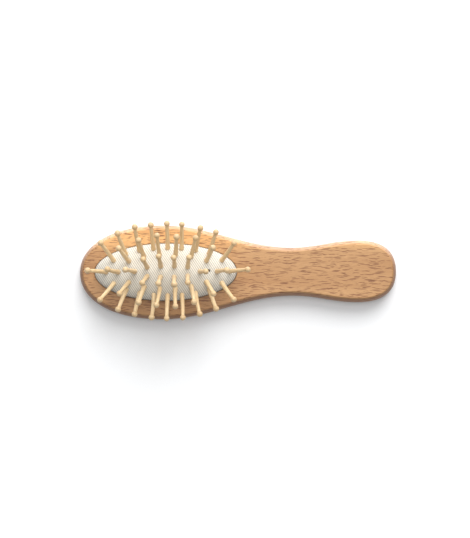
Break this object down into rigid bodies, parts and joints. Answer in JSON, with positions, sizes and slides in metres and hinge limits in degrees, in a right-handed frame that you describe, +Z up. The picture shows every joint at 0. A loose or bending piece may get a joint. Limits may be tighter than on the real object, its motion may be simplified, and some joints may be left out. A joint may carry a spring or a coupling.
{
  "type": "hair brush",
  "caption": "Small wooden hair brush with a domed oval air cushion and round-tipped wooden pins that rock in it.",
  "frame": {"origin": "middle of the flat underside", "axes": "+X along the brush to the end of its handle, +Y across it, +Z up out of the face, the way the pins point"},
  "size_m": [0.175, 0.0546, 0.0392],
  "materials": {
    "beech": "fine sanded beech, lightly oiled, with short dark flecks along the grain",
    "rubber": "matt white natural rubber",
    "textile": "white textile bonded to the rubber, with fine slanting ribs",
    "pin_wood": "pale turned wood, lightly waxed"
  },
  "bodies": {
    "handle": {"brush_body": "beech"},
    "cushion": {"air_cushion": "rubber", "cushion_facing": "textile"},
    "inner_pin_01": {"inner_pin_01": "pin_wood"},
    "inner_pin_02": {"inner_pin_02": "pin_wood"},
    "inner_pin_03": {"inner_pin_03": "pin_wood"},
    "inner_pin_04": {"inner_pin_04": "pin_wood"},
    "inner_pin_05": {"inner_pin_05": "pin_wood"},
    "inner_pin_06": {"inner_pin_06": "pin_wood"},
    "inner_pin_07": {"inner_pin_07": "pin_wood"},
    "inner_pin_08": {"inner_pin_08": "pin_wood"},
    "inner_pin_09": {"inner_pin_09": "pin_wood"},
    "inner_pin_10": {"inner_pin_10": "pin_wood"},
    "middle_pin_01": {"middle_pin_01": "pin_wood"},
    "middle_pin_02": {"middle_pin_02": "pin_wood"},
    "middle_pin_03": {"middle_pin_03": "pin_wood"},
    "middle_pin_04": {"middle_pin_04": "pin_wood"},
    "middle_pin_05": {"middle_pin_05": "pin_wood"},
    "middle_pin_06": {"middle_pin_06": "pin_wood"},
    "middle_pin_07": {"middle_pin_07": "pin_wood"},
    "middle_pin_08": {"middle_pin_08": "pin_wood"},
    "middle_pin_09": {"middle_pin_09": "pin_wood"},
    "middle_pin_10": {"middle_pin_10": "pin_wood"},
    "middle_pin_11": {"middle_pin_11": "pin_wood"},
    "middle_pin_12": {"middle_pin_12": "pin_wood"},
    "middle_pin_13": {"middle_pin_13": "pin_wood"},
    "middle_pin_14": {"middle_pin_14": "pin_wood"},
    "outer_pin_01": {"outer_pin_01": "pin_wood"},
    "outer_pin_02": {"outer_pin_02": "pin_wood"},
    "outer_pin_03": {"outer_pin_03": "pin_wood"},
    "outer_pin_04": {"outer_pin_04": "pin_wood"},
    "outer_pin_05": {"outer_pin_05": "pin_wood"},
    "outer_pin_06": {"outer_pin_06": "pin_wood"},
    "outer_pin_07": {"outer_pin_07": "pin_wood"},
    "outer_pin_08": {"outer_pin_08": "pin_wood"},
    "outer_pin_09": {"outer_pin_09": "pin_wood"},
    "outer_pin_10": {"outer_pin_10": "pin_wood"},
    "outer_pin_11": {"outer_pin_11": "pin_wood"},
    "outer_pin_12": {"outer_pin_12": "pin_wood"},
    "outer_pin_13": {"outer_pin_13": "pin_wood"},
    "outer_pin_14": {"outer_pin_14": "pin_wood"},
    "outer_pin_15": {"outer_pin_15": "pin_wood"},
    "outer_pin_16": {"outer_pin_16": "pin_wood"},
    "outer_pin_17": {"outer_pin_17": "pin_wood"},
    "outer_pin_18": {"outer_pin_18": "pin_wood"},
    "outer_pin_19": {"outer_pin_19": "pin_wood"},
    "outer_pin_20": {"outer_pin_20": "pin_wood"}
  },
  "joints": [
    {"name": "cushion_press", "type": "slide", "parent": "handle", "child": "cushion", "axis": [0, 0, 1], "range_m": [-0.003, 0], "stiffness_N_per_m": 3000},
    {"name": "inner_pin_01_rock", "type": "hinge", "parent": "cushion", "child": "inner_pin_01", "pos_m": [-0.02098, 0.00006, 0.01869], "axis": [1, 0, 0], "range_deg": [-10, 10], "stiffness_Nm_per_rad": 0.02},
    {"name": "inner_pin_02_rock", "type": "hinge", "parent": "cushion", "child": "inner_pin_02", "pos_m": [-0.02753, 0.00196, 0.01932], "axis": [1, 0, 0], "range_deg": [-10, 10], "stiffness_Nm_per_rad": 0.02},
    {"name": "inner_pin_03_rock", "type": "hinge", "parent": "cushion", "child": "inner_pin_03", "pos_m": [-0.03482, 0.00261, 0.01964], "axis": [1, 0, 0], "range_deg": [-10, 10], "stiffness_Nm_per_rad": 0.02},
    {"name": "inner_pin_04_rock", "type": "hinge", "parent": "cushion", "child": "inner_pin_04", "pos_m": [-0.04216, 0.00255, 0.01972], "axis": [1, 0, 0], "range_deg": [-10, 10], "stiffness_Nm_per_rad": 0.02},
    {"name": "inner_pin_05_rock", "type": "hinge", "parent": "cushion", "child": "inner_pin_05", "pos_m": [-0.04945, 0.00204, 0.01948], "axis": [1, 0, 0], "range_deg": [-10, 10], "stiffness_Nm_per_rad": 0.02},
    {"name": "inner_pin_06_rock", "type": "hinge", "parent": "cushion", "child": "inner_pin_06", "pos_m": [-0.05594, -0.00005, 0.01902], "axis": [1, 0, 0], "range_deg": [-10, 10], "stiffness_Nm_per_rad": 0.02},
    {"name": "inner_pin_07_rock", "type": "hinge", "parent": "cushion", "child": "inner_pin_07", "pos_m": [-0.0494, -0.00198, 0.0195], "axis": [1, 0, 0], "range_deg": [-10, 10], "stiffness_Nm_per_rad": 0.02},
    {"name": "inner_pin_08_rock", "type": "hinge", "parent": "cushion", "child": "inner_pin_08", "pos_m": [-0.04214, -0.00259, 0.01971], "axis": [1, 0, 0], "range_deg": [-10, 10], "stiffness_Nm_per_rad": 0.02},
    {"name": "inner_pin_09_rock", "type": "hinge", "parent": "cushion", "child": "inner_pin_09", "pos_m": [-0.03485, -0.00255, 0.01966], "axis": [1, 0, 0], "range_deg": [-10, 10], "stiffness_Nm_per_rad": 0.02},
    {"name": "inner_pin_10_rock", "type": "hinge", "parent": "cushion", "child": "inner_pin_10", "pos_m": [-0.02747, -0.00199, 0.0193], "axis": [1, 0, 0], "range_deg": [-10, 10], "stiffness_Nm_per_rad": 0.02},
    {"name": "middle_pin_01_rock", "type": "hinge", "parent": "cushion", "child": "middle_pin_01", "pos_m": [-0.01196, 0, 0.01702], "axis": [1, 0, 0], "range_deg": [-10, 10], "stiffness_Nm_per_rad": 0.02},
    {"name": "middle_pin_02_rock", "type": "hinge", "parent": "cushion", "child": "middle_pin_02", "pos_m": [-0.01772, 0.00511, 0.01754], "axis": [1, 0, 0], "range_deg": [-10, 10], "stiffness_Nm_per_rad": 0.02},
    {"name": "middle_pin_03_rock", "type": "hinge", "parent": "cushion", "child": "middle_pin_03", "pos_m": [-0.02589, 0.00719, 0.01808], "axis": [1, 0, 0], "range_deg": [-10, 10], "stiffness_Nm_per_rad": 0.02},
    {"name": "middle_pin_04_rock", "type": "hinge", "parent": "cushion", "child": "middle_pin_04", "pos_m": [-0.0343, 0.0082, 0.01829], "axis": [1, 0, 0], "range_deg": [-10, 10], "stiffness_Nm_per_rad": 0.02},
    {"name": "middle_pin_05_rock", "type": "hinge", "parent": "cushion", "child": "middle_pin_05", "pos_m": [-0.04273, 0.00813, 0.01843], "axis": [1, 0, 0], "range_deg": [-10, 10], "stiffness_Nm_per_rad": 0.02},
    {"name": "middle_pin_06_rock", "type": "hinge", "parent": "cushion", "child": "middle_pin_06", "pos_m": [-0.05116, 0.00729, 0.01827], "axis": [1, 0, 0], "range_deg": [-10, 10], "stiffness_Nm_per_rad": 0.02},
    {"name": "middle_pin_07_rock", "type": "hinge", "parent": "cushion", "child": "middle_pin_07", "pos_m": [-0.05922, 0.00512, 0.01799], "axis": [1, 0, 0], "range_deg": [-10, 10], "stiffness_Nm_per_rad": 0.02},
    {"name": "middle_pin_08_rock", "type": "hinge", "parent": "cushion", "child": "middle_pin_08", "pos_m": [-0.06509, -0.00007, 0.01761], "axis": [1, 0, 0], "range_deg": [-10, 10], "stiffness_Nm_per_rad": 0.02},
    {"name": "middle_pin_09_rock", "type": "hinge", "parent": "cushion", "child": "middle_pin_09", "pos_m": [-0.05925, -0.00512, 0.01798], "axis": [1, 0, 0], "range_deg": [-10, 10], "stiffness_Nm_per_rad": 0.02},
    {"name": "middle_pin_10_rock", "type": "hinge", "parent": "cushion", "child": "middle_pin_10", "pos_m": [-0.05115, -0.00724, 0.01829], "axis": [1, 0, 0], "range_deg": [-10, 10], "stiffness_Nm_per_rad": 0.02},
    {"name": "middle_pin_11_rock", "type": "hinge", "parent": "cushion", "child": "middle_pin_11", "pos_m": [-0.04269, -0.00818, 0.01839], "axis": [1, 0, 0], "range_deg": [-10, 10], "stiffness_Nm_per_rad": 0.02},
    {"name": "middle_pin_12_rock", "type": "hinge", "parent": "cushion", "child": "middle_pin_12", "pos_m": [-0.03422, -0.00812, 0.01835], "axis": [1, 0, 0], "range_deg": [-10, 10], "stiffness_Nm_per_rad": 0.02},
    {"name": "middle_pin_13_rock", "type": "hinge", "parent": "cushion", "child": "middle_pin_13", "pos_m": [-0.02582, -0.00724, 0.01804], "axis": [1, 0, 0], "range_deg": [-10, 10], "stiffness_Nm_per_rad": 0.02},
    {"name": "middle_pin_14_rock", "type": "hinge", "parent": "cushion", "child": "middle_pin_14", "pos_m": [-0.01773, -0.00509, 0.01755], "axis": [1, 0, 0], "range_deg": [-10, 10], "stiffness_Nm_per_rad": 0.02},
    {"name": "outer_pin_01_rock", "type": "hinge", "parent": "cushion", "child": "outer_pin_01", "pos_m": [-0.00576, -0.00005, 0.01499], "axis": [1, 0, 0], "range_deg": [-10, 10], "stiffness_Nm_per_rad": 0.02},
    {"name": "outer_pin_02_rock", "type": "hinge", "parent": "cushion", "child": "outer_pin_02", "pos_m": [-0.00959, 0.00537, 0.01531], "axis": [1, 0, 0], "range_deg": [-10, 10], "stiffness_Nm_per_rad": 0.02},
    {"name": "outer_pin_03_rock", "type": "hinge", "parent": "cushion", "child": "outer_pin_03", "pos_m": [-0.01621, 0.00848, 0.01573], "axis": [1, 0, 0], "range_deg": [-10, 10], "stiffness_Nm_per_rad": 0.02},
    {"name": "outer_pin_04_rock", "type": "hinge", "parent": "cushion", "child": "outer_pin_04", "pos_m": [-0.02353, 0.0104, 0.01601], "axis": [1, 0, 0], "range_deg": [-10, 10], "stiffness_Nm_per_rad": 0.02},
    {"name": "outer_pin_05_rock", "type": "hinge", "parent": "cushion", "child": "outer_pin_05", "pos_m": [-0.03089, 0.01137, 0.01628], "axis": [1, 0, 0], "range_deg": [-10, 10], "stiffness_Nm_per_rad": 0.02},
    {"name": "outer_pin_06_rock", "type": "hinge", "parent": "cushion", "child": "outer_pin_06", "pos_m": [-0.0385, 0.0117, 0.01643], "axis": [1, 0, 0], "range_deg": [-10, 10], "stiffness_Nm_per_rad": 0.02},
    {"name": "outer_pin_07_rock", "type": "hinge", "parent": "cushion", "child": "outer_pin_07", "pos_m": [-0.04606, 0.0114, 0.01647], "axis": [1, 0, 0], "range_deg": [-10, 10], "stiffness_Nm_per_rad": 0.02},
    {"name": "outer_pin_08_rock", "type": "hinge", "parent": "cushion", "child": "outer_pin_08", "pos_m": [-0.05355, 0.01034, 0.0165], "axis": [1, 0, 0], "range_deg": [-10, 10], "stiffness_Nm_per_rad": 0.02},
    {"name": "outer_pin_09_rock", "type": "hinge", "parent": "cushion", "child": "outer_pin_09", "pos_m": [-0.06079, 0.00852, 0.01635], "axis": [1, 0, 0], "range_deg": [-10, 10], "stiffness_Nm_per_rad": 0.02},
    {"name": "outer_pin_10_rock", "type": "hinge", "parent": "cushion", "child": "outer_pin_10", "pos_m": [-0.06747, 0.00534, 0.01621], "axis": [1, 0, 0], "range_deg": [-10, 10], "stiffness_Nm_per_rad": 0.02},
    {"name": "outer_pin_11_rock", "type": "hinge", "parent": "cushion", "child": "outer_pin_11", "pos_m": [-0.07132, -0.00004, 0.01599], "axis": [1, 0, 0], "range_deg": [-10, 10], "stiffness_Nm_per_rad": 0.02},
    {"name": "outer_pin_12_rock", "type": "hinge", "parent": "cushion", "child": "outer_pin_12", "pos_m": [-0.06743, -0.00534, 0.01623], "axis": [1, 0, 0], "range_deg": [-10, 10], "stiffness_Nm_per_rad": 0.02},
    {"name": "outer_pin_13_rock", "type": "hinge", "parent": "cushion", "child": "outer_pin_13", "pos_m": [-0.06081, -0.00851, 0.01636], "axis": [1, 0, 0], "range_deg": [-10, 10], "stiffness_Nm_per_rad": 0.02},
    {"name": "outer_pin_14_rock", "type": "hinge", "parent": "cushion", "child": "outer_pin_14", "pos_m": [-0.05353, -0.0104, 0.01644], "axis": [1, 0, 0], "range_deg": [-10, 10], "stiffness_Nm_per_rad": 0.02},
    {"name": "outer_pin_15_rock", "type": "hinge", "parent": "cushion", "child": "outer_pin_15", "pos_m": [-0.04609, -0.01138, 0.01648], "axis": [1, 0, 0], "range_deg": [-10, 10], "stiffness_Nm_per_rad": 0.02},
    {"name": "outer_pin_16_rock", "type": "hinge", "parent": "cushion", "child": "outer_pin_16", "pos_m": [-0.03848, -0.0117, 0.01643], "axis": [1, 0, 0], "range_deg": [-10, 10], "stiffness_Nm_per_rad": 0.02},
    {"name": "outer_pin_17_rock", "type": "hinge", "parent": "cushion", "child": "outer_pin_17", "pos_m": [-0.03092, -0.01137, 0.01629], "axis": [1, 0, 0], "range_deg": [-10, 10], "stiffness_Nm_per_rad": 0.02},
    {"name": "outer_pin_18_rock", "type": "hinge", "parent": "cushion", "child": "outer_pin_18", "pos_m": [-0.02347, -0.01039, 0.01602], "axis": [1, 0, 0], "range_deg": [-10, 10], "stiffness_Nm_per_rad": 0.02},
    {"name": "outer_pin_19_rock", "type": "hinge", "parent": "cushion", "child": "outer_pin_19", "pos_m": [-0.0162, -0.00851, 0.0157], "axis": [1, 0, 0], "range_deg": [-10, 10], "stiffness_Nm_per_rad": 0.02},
    {"name": "outer_pin_20_rock", "type": "hinge", "parent": "cushion", "child": "outer_pin_20", "pos_m": [-0.00955, -0.00532, 0.01533], "axis": [1, 0, 0], "range_deg": [-10, 10], "stiffness_Nm_per_rad": 0.02}
  ]
}
